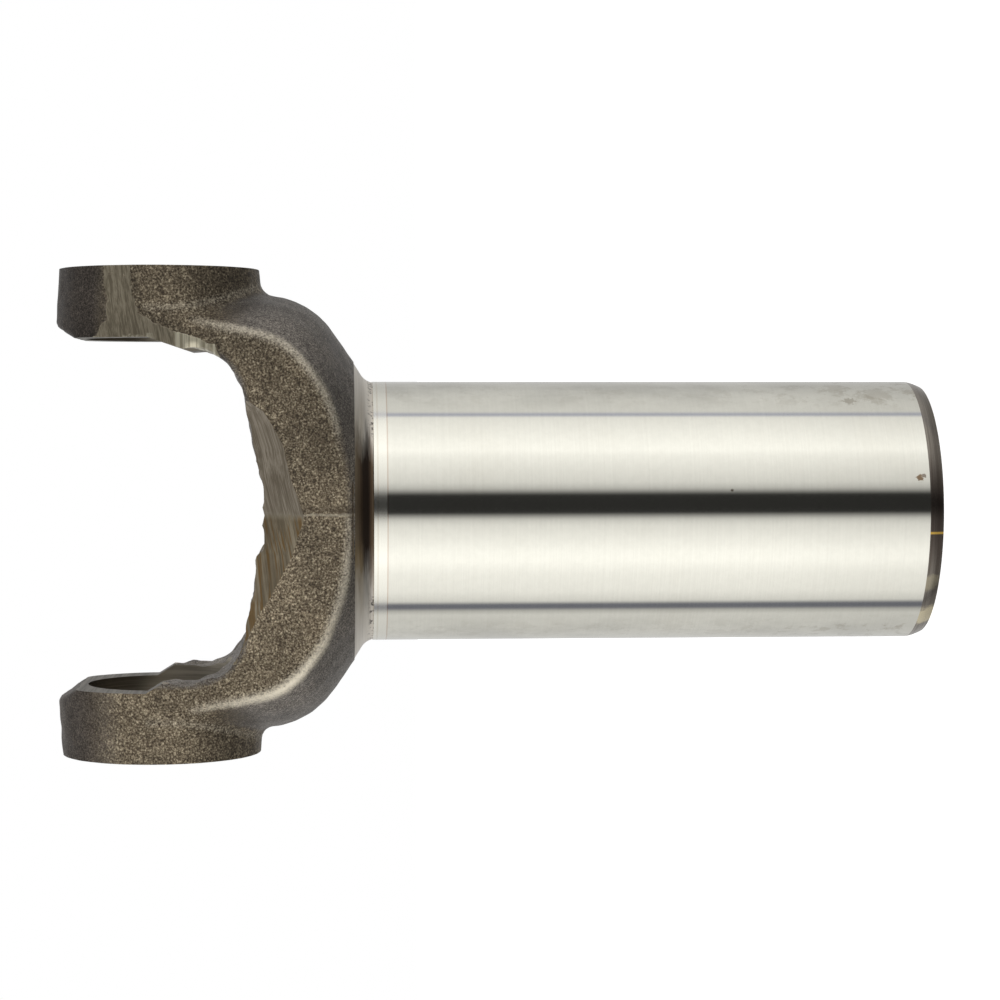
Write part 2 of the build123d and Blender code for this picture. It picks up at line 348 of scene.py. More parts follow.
def drawn_over(field, low, high, step):
    """Closed mesh over the zero surface of a field: a point in each grid cell that the surface crosses."""
    lines = [np.arange(a, b + step, step) for a, b in zip(low, high)]
    values = field(*np.meshgrid(*lines, indexing="ij"))
    shape = np.array(values.shape) - 1
    count = np.zeros(shape)
    total = np.zeros((*shape, 3))
    crossings = []
    for axis in range(3):
        start = np.moveaxis(values, axis, 0)[:-1]
        end = np.moveaxis(values, axis, 0)[1:]
        crossed = (start < 0) != (end < 0)
        share = np.where(crossed, start / np.where(crossed, start - end, 1), 0)
        others = [other for other in range(3) if other != axis]
        for shift_a in (0, 1):
            for shift_b in (0, 1):
                near = crossed[:, shift_a:shift_a + shape[others[0]], shift_b:shift_b + shape[others[1]]]
                part = share[:, shift_a:shift_a + shape[others[0]], shift_b:shift_b + shape[others[1]]]
                count += np.moveaxis(near, 0, axis)
                total[..., axis] += np.moveaxis(part, 0, axis)
                total[..., others[0]] += np.moveaxis(near * shift_a, 0, axis)
                total[..., others[1]] += np.moveaxis(near * shift_b, 0, axis)
        crossings.append((crossed, start < 0))
    used = count > 0
    number = np.full(shape, -1)
    number[used] = np.arange(used.sum())
    cells = np.argwhere(used)
    points = (cells + total[used] / count[used][:, None]) * step + np.array(low)
    faces = []
    for axis, (crossed, leaving) in enumerate(crossings):
        turned = np.moveaxis(number, axis, 0)
        crossed = crossed[:, 1:-1, 1:-1]
        leaving = leaving[:, 1:-1, 1:-1]
        corners = (turned[:, :-1, :-1], turned[:, 1:, :-1], turned[:, 1:, 1:], turned[:, :-1, 1:])
        quads = np.stack([corner[crossed] for corner in corners], axis=1)
        forward = leaving[crossed] if axis != 1 else ~leaving[crossed]
        faces.append(np.where(forward[:, None], quads, quads[:, ::-1]))
    return points, np.concatenate(faces)


def blank_field(x, y, z):
    return np.maximum(head_field(x, y, z), SHOULDER_HEIGHT - BLANK_FOOT - z)


low = np.subtract((-EAR_SPAN / 2, -BASE_HALF_DEPTH, SHOULDER_HEIGHT), FIELD_MARGIN)
high = np.add((EAR_SPAN / 2, BASE_HALF_DEPTH, CROSS_HEIGHT + EAR_RADIUS), FIELD_MARGIN)
points, faces = drawn_over(blank_field, low, high, SKIN_STEP)
for _ in range(SETTLING_ROUNDS):
    slope = uphill(blank_field, points)
    steep = np.maximum((slope**2).sum(axis=1), LEAST_STEEP)
    off = np.clip(blank_field(*points.T), -SETTLING_REACH, SETTLING_REACH)
    points -= slope * (off / steep)[:, None]
slope = uphill(blank_field, points)
slope /= np.linalg.norm(slope, axis=1)[:, None]
points += slope * (SKIN_LUMP * skin_lumps(*points.T))[:, None]
mesh = bpy.data.meshes.new("forging")
mesh.from_pydata((points * MM).tolist(), [], faces.tolist())
forging = bpy.data.objects.new("forging", mesh)
bpy.context.scene.collection.objects.link(forging)

# Forged skin
# Steel as the dies and the shot blasting left it: coarse and speckled brown on the flanks, finer and greyer
# on the turned outside. Painted shade darkens the tips, the hollows behind the bosses and the foot, painted
# light lifts the half at negative x, and the ridges are worn light and carry a painted highlight. A light
# line on its foot shows where the dies met, with a painted shadow beside it, and a grinder has cleaned one
# ear's edge down to bright stripes. Places are in millimetres along the yoke's axes.
SKIN = (
    (0.28, (0.054, 0.041, 0.028)), (0.45, (0.130, 0.102, 0.068)), (0.62, (0.280, 0.230, 0.156)),
    (0.82, (0.68, 0.585, 0.42)),
)
SMOOTH_SKIN = (
    (0.30, (0.072, 0.061, 0.051)), (0.50, (0.168, 0.149, 0.127)), (0.75, (0.42, 0.375, 0.32)),
)
RIDGE_LIT_AND_WORN_TONE = (0.86, 0.78, 0.62, 1)
SKIN_METAL = 0.75
TIP_PAINTED_SHADE = ((0.36, 0.335, 0.325, 1), (0.48, 0.45, 0.43, 1))
GROUND_TONES = ((0.185, 0.157, 0.108, 1), (0.365, 0.32, 0.235, 1))
PATCH_TONES = ((0.40, 0.36, 0.26, 1), (0.74, 0.69, 0.53, 1))
SEAM_SHADOW = (0.07, 0.052, 0.034, 1)
SEAM_LIGHT = (0.66, 0.60, 0.47, 1)
SKIN_DEPTH = 0.32
SIDE_X = (10, -10)
TIP_Z = (147.5, 152.5)
FOOT_SHADE_Z = (107, 120)
HOLLOW_SHADE_Z = (138, 129)
HOLLOW_SHADE_X = (33, 38)
ARM_LIGHT_START_Z = (116, 124)
ARM_LIGHT_END_Z = (128, 136)
SEAM_X = 0.4
SEAM_TOP_Z = (114.5, 116.0)
SEAM_WIDTH = (0.08, 0.34)
SEAM_TORN = 0.6
SEAM_SHADOW_X = 0.9
SEAM_SHADOW_WIDTH = (0.2, 0.9)
PATCH_LEAN = (0, math.radians(12), 0)
PATCH_Z = (137.8, 138.1)
PATCH_TORN = 1.2
PATCH_FLARE_X = (33.5, 36.5)
PATCH_EDGE_X = (29.3, 30.1)
PATCH_EDGE_Z = (140.5, 142.5)
PATCH_EDGE_TORN = -4


def group(name, inputs, outputs):
    """An empty group of nodes, with what it is given and where its results go."""
    tree = bpy.data.node_groups.new(name, "ShaderNodeTree")
    for socket_name, kind, value in inputs:
        socket = tree.interface.new_socket(socket_name, in_out="INPUT", socket_type="NodeSocket" + kind)
        if value is not None:
            socket.default_value = value
    for socket_name, kind in outputs:
        tree.interface.new_socket(socket_name, in_out="OUTPUT", socket_type="NodeSocket" + kind)
    return tree, add_node(tree, "NodeGroupInput").outputs, add_node(tree, "NodeGroupOutput").inputs


def placed(tree, made, **values):
    """A group placed in a material, with its own values."""
    node = add_node(tree, "ShaderNodeGroup", node_tree=made)
    for name, value in values.items():
        feed(tree, node.inputs[name], value)
    return node.outputs


def noise_node(tree, where, scale, detail=2.0, rough=0.5):
    node = add_node(tree, "ShaderNodeTexNoise")
    node.inputs["Detail"].default_value = detail
    node.inputs["Roughness"].default_value = rough
    feed(tree, node.inputs["Scale"], scale)
    tree.links.new(where, node.inputs["Vector"])
    return node.outputs["Fac"]


def range_node(tree, value, low, high, start=0.0, end=1.0):
    """A value that eases from start to end while the given one goes from low to high."""
    node = add_node(tree, "ShaderNodeMapRange", interpolation_type="SMOOTHSTEP")
    tree.links.new(value, node.inputs["Value"])
    for name, given in (("From Min", low), ("From Max", high), ("To Min", start), ("To Max", end)):
        feed(tree, node.inputs[name], given)
    return node.outputs["Result"]


def along(tree, place, span, start=0.0, end=1.0):
    """The same between two places in millimetres."""
    return range_node(tree, place, span[0] * MM, span[1] * MM, start, end)


def mix_node(tree, share, first, second, blend="MIX"):
    node = add_node(tree, "ShaderNodeMix", data_type="RGBA", blend_type=blend)
    for number, given in ((0, share), (6, first), (7, second)):
        feed(tree, node.inputs[number], given)
    return node.outputs[2]


def tinted(tree, colour, tint):
    """A colour multiplied by another one, or by a shade of grey."""
    return mix_node(tree, 1.0, colour, tint, "MULTIPLY")


def blend_node(tree, share, first, second):
    node = add_node(tree, "ShaderNodeMix", data_type="FLOAT")
    for number, given in ((0, share), (2, first), (3, second)):
        feed(tree, node.inputs[number], given)
    return node.outputs[0]


def bump_node(tree, height, depth):
    """Relief of a depth in millimetres, as a normal."""
    node = add_node(tree, "ShaderNodeBump")
    node.inputs["Strength"].default_value = 1.0
    node.inputs["Distance"].default_value = depth * MM
    tree.links.new(height, node.inputs["Height"])
    return node.outputs[0]


def stretched(tree, where, scale, turn=(0, 0, 0)):
    """Coordinates turned and then scaled differently along each axis, so that a grain runs one way."""
    turned = add_node(tree, "ShaderNodeMapping")
    drawn = add_node(tree, "ShaderNodeMapping")
    turned.inputs["Rotation"].default_value = turn
    drawn.inputs["Scale"].default_value = scale
    tree.links.new(where, turned.inputs["Vector"])
    tree.links.new(turned.outputs[0], drawn.inputs["Vector"])
    return drawn.outputs[0]


def place_nodes(tree):
    """The place on the piece: whole, and along each axis."""
    where = add_node(tree, "ShaderNodeTexCoord").outputs["Object"]
    split = add_node(tree, "ShaderNodeSeparateXYZ")
    tree.links.new(where, split.inputs[0])
    return where, *split.outputs


def attribute_node(tree, name):
    return add_node(tree, "ShaderNodeAttribute", attribute_name=name).outputs["Fac"]


def blasted_group():
    """Pits and peaks that shot blasting leaves: a grain of light crests and dark hollows, and its height."""
    tree, given, result = group(
        "blasted_skin", [("Fineness", "Float", 2000.0)], [("Grain", "Float"), ("Height", "Float")],
    )
    where = add_node(tree, "ShaderNodeTexCoord").outputs["Object"]
    grain = noise_node(tree, where, given["Fineness"], 3.0, 0.62)
    pits = noise_node(tree, where, times(tree, given["Fineness"], 0.35))
    both = scaled(tree, grain, 0.82, times(tree, pits, 0.18))
    tree.links.new(scaled(tree, minus(tree, both, 0.5), 1.70, 0.5), result["Grain"])
    tree.links.new(both, result["Height"])
    return tree


def lined_group():
    """Fine lines of a grinder or a cutter, at a place that is already stretched along the lines."""
    inputs = [("Place", "Vector", None), ("Fineness", "Float", 1.0)]
    tree, given, result = group("tool_lines", inputs, [("Lines", "Float"), ("Height", "Float")])
    fine = noise_node(tree, given["Place"], given["Fineness"], 3.0, 0.65)
    broad = noise_node(tree, given["Place"], times(tree, given["Fineness"], 0.27))
    both = plus(tree, times(tree, fine, 0.6), times(tree, broad, 0.4))
    tree.links.new(range_node(tree, both, 0.40, 0.62), result["Lines"])
    tree.links.new(both, result["Height"])
    return tree


blasted = blasted_group()
lined = lined_group()


def tool_lines(tree, where, scale, turn=(0, 0, 0)):
    """The lines that a tool leaves, drawn out along the axes whose scale is small."""
    return placed(tree, lined, Place=stretched(tree, where, scale, turn))


def coat(tree, surface, tone, normal, rough, metal):
    """Feed the shader of a steel with its colour, its relief, its roughness and how metallic it is."""
    for name, value in (("Base Color", tone), ("Normal", normal), ("Roughness", rough), ("Metallic", metal)):
        feed(tree, surface.inputs[name], value)


def speckled_tone(tree, rough, smooth, coarse, side, z):
    """Brown speckles where the skin is coarse, and grey where it is smooth, with painted shade on the tips.
    """
    # Painted shade on the tips of the ears, deeper on the upper ear.
    tips = mix_node(tree, side, *TIP_PAINTED_SHADE)
    tips = mix_node(tree, along(tree, z, TIP_Z), WHITE, tips)
    grey = tinted(tree, ramp_node(tree, smooth["Grain"], SMOOTH_SKIN), tips)
    # The brown is lifted at the foot by about as much as the painted shade there takes off, so that shade
    # falls mainly on the grey.
    brown = tinted(tree, ramp_node(tree, rough["Grain"], SKIN), along(tree, z, FOOT_SHADE_Z, 1.16, 1.0))
    return mix_node(tree, coarse, grey, brown)


def mottle_and_painted_light(tree, where, x, z, coarse, side):
    """Random cloudy light and dark in the tone, with painted shade at the foot and in the hollows behind the
    bosses, and painted light on the half at negative x, most on its arm.
    """
    shade = range_node(tree, noise_node(tree, where, 90.0, 3.0, 0.55), 0.3, 0.7, 0.76, 1.16)
    # Painted light on the half at negative x.
    shade = times(tree, shade, scaled(tree, side, 0.16, 1.0))
    # Painted shade in the hollows behind the bosses.
    hollow_shade = times(tree, along(tree, z, HOLLOW_SHADE_Z), along(tree, unsigned(tree, x), HOLLOW_SHADE_X))
    shade = times(tree, shade, scaled(tree, hollow_shade, -0.34, 1.0))
    # Painted shade at the foot, next to the neck.
    shade = times(tree, shade, along(tree, z, FOOT_SHADE_Z, 0.84, 1.0))
    # More painted light on the coarse skin of the arm at negative x.
    arm = along(tree, z, ARM_LIGHT_START_Z, 0.14, 0.26)
    arm = times(tree, arm, along(tree, z, ARM_LIGHT_END_Z, 1.0, 0.0))
    arm = times(tree, times(tree, arm, coarse), side)
    return times(tree, shade, plus(tree, arm, 1.0))


def die_seam(tree, where, x, z):
    """Light line where the dies met, and the shadow beside it, both on the foot of the bell only."""
    foot = along(tree, z, SEAM_TOP_Z, 1.0, 0.0)
    torn = scaled(tree, noise_node(tree, where, 900.0), SEAM_TORN * MM, -SEAM_TORN / 2 * MM)
    off = plus(tree, minus(tree, x, SEAM_X * MM), torn)
    seam = along(tree, unsigned(tree, off), SEAM_WIDTH, 0.34, 0.0)
    beside = unsigned(tree, minus(tree, off, SEAM_SHADOW_X * MM))
    shadow = along(tree, beside, SEAM_SHADOW_WIDTH, 0.45, 0.0)
    return times(tree, seam, foot), times(tree, shadow, foot)


def filed_tone(tree, where, x, z, edge, lines):
    """Bare steel under the grinder: dark lines, and a bright striped patch on the inside of the ear."""
    filed = mix_node(tree, lines["Lines"], *GROUND_TONES)
    stripes = noise_node(tree, stretched(tree, where, (60, 60, 1750)), 1.0)
    patch = mix_node(tree, range_node(tree, stripes, 0.42, 0.56), *PATCH_TONES)
    torn = scaled(tree, edge, PATCH_TORN * MM, z)
    filed = mix_node(tree, along(tree, torn, PATCH_Z, 0.85, 0.0), filed, patch)
    filed = tinted(tree, filed, along(tree, x, PATCH_FLARE_X, 0.92, 1.0))
    worn = along(tree, scaled(tree, edge, PATCH_EDGE_TORN * MM, x), PATCH_EDGE_X, 0.62, 0.0)
    return mix_node(tree, times(tree, worn, along(tree, z, PATCH_EDGE_Z)), filed, PATCH_TONES[1])


def forged_steel():
    """The whole skin: blasted or smooth, with painted light and shade, worn light and given a painted
    highlight at its ridges, seamed, and filed where the grinder has been.
    """
    material, tree, surface = new_material("forged_skin")
    where, x, _, z = place_nodes(tree)
    coarse = attribute_node(tree, "coarse")
    ridge = attribute_node(tree, "ridge")
    ground = attribute_node(tree, "ground")
    rough = placed(tree, blasted, Fineness=2900.0)
    smooth = placed(tree, blasted, Fineness=3600.0)
    side = along(tree, x, SIDE_X)
    skin = speckled_tone(tree, rough, smooth, coarse, side, z)
    skin = tinted(tree, skin, mottle_and_painted_light(tree, where, x, z, coarse, side))
    # The ridges are worn light and carry a painted highlight, and a band along the foot of each boss carries
    # a painted highlight.
    crest = scaled(tree, minus(tree, rough["Grain"], 0.5), 0.9, ridge)
    crest = times(tree, range_node(tree, crest, 0.15, 0.95), ridge)
    skin = mix_node(tree, crest, skin, RIDGE_LIT_AND_WORN_TONE)
    seam, shadow = die_seam(tree, where, x, z)
    skin = mix_node(tree, shadow, skin, SEAM_SHADOW)
    skin = mix_node(tree, seam, skin, SEAM_LIGHT)
    skin = tinted(tree, skin, range_node(tree, ground, -2.2, -0.5, 1.0, 0.68))
    edge = noise_node(tree, where, 700.0, 3.0, 0.6)
    on_ground = range_node(tree, plus(tree, ground, scaled(tree, edge, 1.4, -0.7)), -0.12, 0.12)
    lines = tool_lines(tree, where, (90, 3600, 4200), PATCH_LEAN)
    skin = mix_node(tree, on_ground, skin, filed_tone(tree, where, x, z, edge, lines))
    height = blend_node(tree, coarse, times(tree, smooth["Height"], 0.35), rough["Height"])
    height = scaled(tree, seam, 0.4, height)
    height = blend_node(tree, on_ground, height, times(tree, lines["Height"], 0.12))
    dull = blend_node(tree, on_ground, blend_node(tree, crest, 0.47, 0.36), 0.38)
    coat(tree, surface, skin, bump_node(tree, height, SKIN_DEPTH), dull, SKIN_METAL)
    return material


forged_skin = forged_steel()
mesh.materials.append(forged_skin)

# Milling
# The inside of both ears is milled flat with one cutter, which starts at a different height on each ear and
# leaves a short slope below. A second cut faces the ears off to their span. Each cutter here is a closed
# body that takes its share off the forging and leaves its own finish on the cut face.
MILLED_START = (142.2, 142.9)
MILLED_FOOT = (135.6, 139.3)
MILLED_FOOT_GAP = 29.5
MILLED_TONES = ((0.11, 0.098, 0.080, 1), (0.23, 0.21, 0.175, 1))
LINED_METAL = 0.9
CUT_REACH = 60
CUT_TOP = 190


def lined_steel(name, tones, scale, depth, rough=0.32, shaded=None):
    """Steel with fine tool lines. If two heights are given as shaded, it darkens from one to the other."""
    material, tree, surface = new_material(name)
    where, _, _, z = place_nodes(tree)
    lines = tool_lines(tree, where, scale)
    tone = mix_node(tree, lines["Lines"], *tones)
    if shaded:
        tone = tinted(tree, tone, along(tree, z, shaded, 1.0, 0.26))
    coat(tree, surface, tone, bump_node(tree, lines["Height"], depth), rough, LINED_METAL)
    return material


def cleaned(mesh):
    """Merge the doubled points of a closed mesh and turn its faces outwards."""
    edit = bmesh.new()
    edit.from_mesh(mesh)
    bmesh.ops.remove_doubles(edit, verts=edit.verts, dist=1e-7)
    bmesh.ops.recalc_face_normals(edit, faces=edit.faces)
    edit.to_mesh(mesh)
    edit.free()


def body(name, points, faces, materials, finish=None):
    """A closed body in millimetres, with its faces turned outwards and a finish number for each."""
    mesh = bpy.data.meshes.new(name)
    mesh.from_pydata([tuple(c * MM for c in point) for point in points], [], faces)
    for material in materials:
        mesh.materials.append(material)
    if finish is not None:
        mesh.polygons.foreach_set("material_index", finish)
    cleaned(mesh)
    thing = bpy.data.objects.new(name, mesh)
    bpy.context.scene.collection.objects.link(thing)
    return thing


def slab(name, outline, offsets, materials):
    """A body between two copies of an outline; each offset moves a copy as a whole."""
    count = len(outline)
    points = [tuple(np.add(point, offset)) for offset in offsets for point in outline]
    faces = [tuple(range(count)), tuple(range(2 * count - 1, count - 1, -1))]
    faces += [(i, (i + 1) % count, (i + 1) % count + count, i + count) for i in range(count)]
    return body(name, points, faces, materials)


milled_steel = lined_steel("milled_steel", MILLED_TONES, (900, 60, 3200), 0.05, 0.48)
outer = EAR_SPAN / 2
rectangle = [(-outer, -CUT_REACH, 0), (outer, -CUT_REACH, 0), (outer, CUT_REACH, 0), (-outer, CUT_REACH, 0)]
facing = slab("facing", rectangle, [(0, 0, SHOULDER_HEIGHT), (0, 0, CUT_TOP)], [milled_steel])
milled = EAR_GAP / 2
profile = [
    (MILLED_FOOT_GAP, MILLED_FOOT[0]), (milled, MILLED_START[0]), (milled, CUT_TOP),
    (-milled, CUT_TOP), (-milled, MILLED_START[1]), (-MILLED_FOOT_GAP, MILLED_FOOT[1]),
]
profile = [(x, 0, z) for x, z in profile]
slot = slab("slot", profile, [(0, -CUT_REACH, 0), (0, CUT_REACH, 0)], [milled_steel])

# Hand grinding
# The flash in the crotch is ground off by hand, in one broad facet on each side whose edge bows, and one
# narrow flat is ground on the side of one ear. The facets are left with long streaks, browned by the heat.
FACET_TONES = ((0.27, 0.235, 0.175, 1), (0.56, 0.505, 0.41, 1))
FACET_OCHRE = (0.27, 0.165, 0.055, 1)
FACET_CLOUD = (0.16, 0.125, 0.08, 1)
FACET_TINTS = ((0.85, 0.80, 0.70, 1), (0.89, 0.86, 0.84, 1))
FACET_SEAM_WIDTH = (0.2, 0.9)
FACET_SWITCH_X = (-0.6, 0.6)
FACET_LEAN = (0, math.radians(8.0), math.radians(28.5))
FACET_STEEP_LEAN = (0, math.radians(16.0), 0)
FACET_DEPTH = 0.05
FACET_ROUGHNESS = 0.40
FACET_SPARE = 8.0
FACET_HEIGHT = 114.9
FACET_SLOPE = math.tan(math.radians(38.7))
FACET_EDGE = (
    (-29.9, 60), (-29.9, 15.3), (-26.3, 6.8), (-17.5, 4.5), (-14.7, 3.2), (-11.5, 2.1), (-7.0, 0.6),
    (-4.2, 0.1), (0, -0.7), (6, 0.6), (12.1, 1.3), (16, 2.5), (18.5, 3.6), (21, 6.2), (23, 11), (29.9, 60),
)
EAR_FLAT_ANGLE = math.radians(68.5)
EAR_FLAT_DEPTH = 0.2
EAR_FLAT_REACH = (12, 20, 10)


def facet_steel():
    """Long streaks, alike on both sides of the crotch, steeper on the upper half and browner on the lower."""
    material, tree, surface = new_material("ground_facet")
    _, x, y, z = place_nodes(tree)
    upper = along(tree, x, FACET_SWITCH_X)
    mirrored = add_node(tree, "ShaderNodeCombineXYZ")
    for name, place in (("X", x), ("Y", unsigned(tree, y)), ("Z", z)):
        tree.links.new(place, mirrored.inputs[name])
    where = mirrored.outputs[0]
    steep = tool_lines(tree, where, (60, 4200, 4200), FACET_STEEP_LEAN)
    gentle = tool_lines(tree, where, (40, 2600, 2600), FACET_LEAN)
    streaks = blend_node(tree, upper, gentle["Lines"], steep["Lines"])
    filed = mix_node(tree, streaks, *FACET_TONES)
    ochre = noise_node(tree, stretched(tree, where, (25, 1300, 1300), FACET_LEAN), 1.0)
    ochre = times(tree, range_node(tree, ochre, 0.50, 0.58, 0.0, 0.8), minus(tree, 1.0, upper))
    filed = mix_node(tree, ochre, filed, FACET_OCHRE)
    cloud = range_node(tree, noise_node(tree, where, 130.0, 3.0, 0.6), 0.40, 0.70, 0.0, 0.35)
    filed = mix_node(tree, cloud, filed, FACET_CLOUD)
    filed = tinted(tree, filed, mix_node(tree, upper, *FACET_TINTS))
    seam = along(tree, unsigned(tree, x), FACET_SEAM_WIDTH, 0.10, 0.0)
    filed = mix_node(tree, seam, filed, PATCH_TONES[1])
    rise = blend_node(tree, upper, gentle["Height"], steep["Height"])
    coat(tree, surface, filed, bump_node(tree, rise, FACET_DEPTH), FACET_ROUGHNESS, LINED_METAL)
    return material


ground_facet = facet_steel()
vee = [(x, 0, z + FACET_HEIGHT) for x, z in FACET_EDGE]
facets = []
for front in (-1, 1):
    start = (0, front * (BASE_HALF_DEPTH + FACET_SPARE), -FACET_SPARE * FACET_SLOPE)
    end = (0, 0, BASE_HALF_DEPTH * FACET_SLOPE)
    facets.append(slab("facet", vee, [start, end], [ground_facet]))

radial = Vector((0, -math.sin(EAR_FLAT_ANGLE), math.cos(EAR_FLAT_ANGLE)))
outward = (radial + Vector((DRAFT, 0, 0))).normalized()
middle_x = (EAR_SPAN / 2 + RAW_HALF_GAP) / 2
foot = Vector((middle_x, 0, CROSS_HEIGHT)) + radial * (EAR_RADIUS - DRAFT * middle_x - EAR_FLAT_DEPTH)
length, width, depth = EAR_FLAT_REACH
lengthwise = (Vector((1, 0, 0)) - outward * outward.x).normalized()
across = outward.cross(lengthwise)
corners = []
for a, b in ((-1, -1), (1, -1), (1, 1), (-1, 1)):
    corners.append(tuple(foot + lengthwise * a * length + across * b * width))
ear_flat = slab("ear_flat", corners, [(0, 0, 0), tuple(outward * depth)], [forged_skin])

# Barrel
# The barrel is turned and then ground to the size of its seal. Faint rings run round it, its end is blotched
# by handling, and a narrow band of it beside the neck is lighter and duller.
BARREL_RADIUS = 23.94
BARREL_SEGMENTS = 288
BARREL_TONES = ((0.742, 0.728, 0.650, 1), (0.765, 0.752, 0.672, 1))
BARREL_HAZE = (0.45, 0.40, 0.30, 1)
BARREL_BLOTCH = (0.33, 0.29, 0.22, 1)
BARREL_DEPTH = 0.0009
BARREL_END_Z = (4, 40)
BLOTCH_X = 18.5
BLOTCH_EASE = (-0.5, 3)
BLOTCH_Z = (0, 45)
BAND_TONE = (0.87, 0.85, 0.76, 1)
BAND_Z = (99.6, 100.0)
# Place, radius, strength and colour of each stain
STAINS = (
    ((6.5, -23.0, 4.4), 0.75, 0.85, (0.16, 0.08, 0.02, 1)),
    ((6.9, -22.9, 3.6), 0.45, 0.7, (0.10, 0.05, 0.02, 1)),
    ((4.4, -23.5, 38.4), 0.32, 0.8, (0.10, 0.06, 0.03, 1)),
    ((20.3, -12.7, 15.2), 1.3, 0.50, (0.26, 0.22, 0.16, 1)),
    ((21.4, -10.7, 10.0), 3.4, 0.34, (0.34, 0.30, 0.23, 1)),
    ((22.6, -7.9, 17.0), 2.6, 0.30, (0.34, 0.30, 0.22, 1)),
)
# Height, width, strength and colour of each ring
RINGS = (
    (99.75, 0.16, 0.50, (0.52, 0.36, 0.26, 1)),
    (101.5, 0.22, 0.30, (0.56, 0.47, 0.34, 1)),
    (53.2, 0.10, 0.10, (0.60, 0.58, 0.52, 1)),
)


def stain_group():
    """A stain or speck at one place, with a ragged outline."""
    inputs = [("Middle", "Vector", None), ("Radius", "Float", 0.001), ("Ragged", "Float", 0.5)]
    tree, given, result = group("stain", inputs, [("Mask", "Float")])
    where = add_node(tree, "ShaderNodeTexCoord").outputs["Object"]
    away = add_node(tree, "ShaderNodeVectorMath", operation="DISTANCE")
    tree.links.new(where, away.inputs[0])
    tree.links.new(given["Middle"], away.inputs[1])
    share = math_node(tree, "DIVIDE", away.outputs["Value"], given["Radius"])
    torn = noise_node(tree, where, math_node(tree, "DIVIDE", 2.2, given["Radius"]), 3.0, 0.6)
    torn = times(tree, minus(tree, torn, 0.5), times(tree, given["Ragged"], 2.5))
    tree.links.new(range_node(tree, plus(tree, share, torn), 0.55, 1.0, 1.0, 0.0), result["Mask"])
    return tree


stain = stain_group()


def stained(tree, tone, stains, ragged):
    """A tone with each of many stains laid over it."""
    for middle, radius, strength, colour in stains:
        middle = [c * MM for c in middle]
        mask = placed(tree, stain, Middle=middle, Radius=radius * MM, Ragged=ragged)["Mask"]
        tone = mix_node(tree, times(tree, mask, strength), tone, colour)
    return tone


def barrel_steel():
    """Bright steel with fine rings round it, blotched towards its end, lighter and duller beside the neck."""
    material, tree, surface = new_material("ground_steel")
    where, x, _, z = place_nodes(tree)
    lines = tool_lines(tree, where, (40, 40, 9000))
    tone = mix_node(tree, lines["Lines"], *BARREL_TONES)
    mottle = noise_node(tree, where, 650.0, 3.0, 0.65)
    tone = tinted(tree, tone, range_node(tree, mottle, 0.35, 0.65, 0.975, 1.0))
    tone = tinted(tree, tone, along(tree, z, BARREL_END_Z, 0.93, 1.0))
    haze = range_node(tree, noise_node(tree, where, 40.0, 4.0, 0.6), 0.50, 0.78)
    tone = mix_node(tree, times(tree, haze, 0.10), tone, BARREL_HAZE)
    blotch = range_node(tree, noise_node(tree, where, 260.0, 4.0, 0.65), 0.50, 0.62)
    side = along(tree, minus(tree, unsigned(tree, x), BLOTCH_X * MM), BLOTCH_EASE)
    dull = times(tree, times(tree, blotch, side), along(tree, z, BLOTCH_Z, 1.0, 0.25))
    tone = mix_node(tree, times(tree, dull, 0.45), tone, BARREL_BLOTCH)
    smear = noise_node(tree, stretched(tree, where, (90, 90, 55)), 1.0, 5.0, 0.6)
    smear = blend_node(tree, side, 1.0, range_node(tree, smear, 0.36, 0.64, 0.90, 1.07))
    tone = tinted(tree, tone, smear)
    tone = mix_node(tree, along(tree, z, BAND_Z, 0.0, 0.6), tone, BAND_TONE)
    tone = stained(tree, tone, STAINS, 0.8)
    for height, width, strength, colour in RINGS:
        off = unsigned(tree, minus(tree, z, height * MM))
        mask = along(tree, off, (width * 0.3, width), strength, 0.0)
        tone = mix_node(tree, mask, tone, colour)
    rough = scaled(tree, dull, 0.10, along(tree, z, BAND_Z, 0.085, 0.17))
    coat(tree, surface, tone, bump_node(tree, lines["Height"], BARREL_DEPTH), rough, 1.0)
    return material


ground_steel = barrel_steel()

# Neck
# Between barrel and head the steel is left as turned: a small relief beside the ground barrel, then a fillet
# and a cone. Oil has burnt brown on its front and back, and small pits lie along the barrel's edge.
NECK_FILLET = 3.0
NECK_STEPS = 12
NECK_FIRST_STEP = 2
NECK_RELIEF = 0.18
NECK_LIP = 0.12
NECK_CONE = math.radians(58.0)
NECK_TOP_RADIUS = 27.35
NECK_OVERLAP = 0.4
NECK_TONES = ((0.71, 0.66, 0.575, 1), (0.84, 0.79, 0.70, 1))
NECK_DEPTH = 0.02
NECK_GOLD = (0.36, 0.26, 0.13, 1)
NECK_GOLD_X = (-3, -9)
NECK_PIT = (0.02, 0.015, 0.01, 1)
NECK_PITS_Z = 102.3
NECK_PITS_WIDTH = (0.3, 1.2)
NECK_PITS_X = (13, 16)
NECK_STAIN_Z = 102.7
NECK_STAIN_HEIGHT = 3.2
NECK_STAIN_LENGTH = 44
NECK_STAIN_TORN = 1.2
NECK_STAIN_WANDER = 12
NECK_STAIN = (
    (0.0, (0.26, 0.20, 0.13)), (0.14, (0.12, 0.080, 0.050)), (0.36, (0.028, 0.020, 0.015)),
    (0.62, (0.035, 0.024, 0.017)), (0.80, (0.10, 0.066, 0.040)), (1.0, (0.20, 0.155, 0.105)),
)
NECK_STAINED = (
    (0.09, 0.0), (0.20, 0.35), (0.29, 0.85), (0.36, 1.0),
    (0.72, 1.0), (0.79, 0.72), (0.86, 0.15), (0.92, 0.0),
)
TURNED_METAL = 0.95


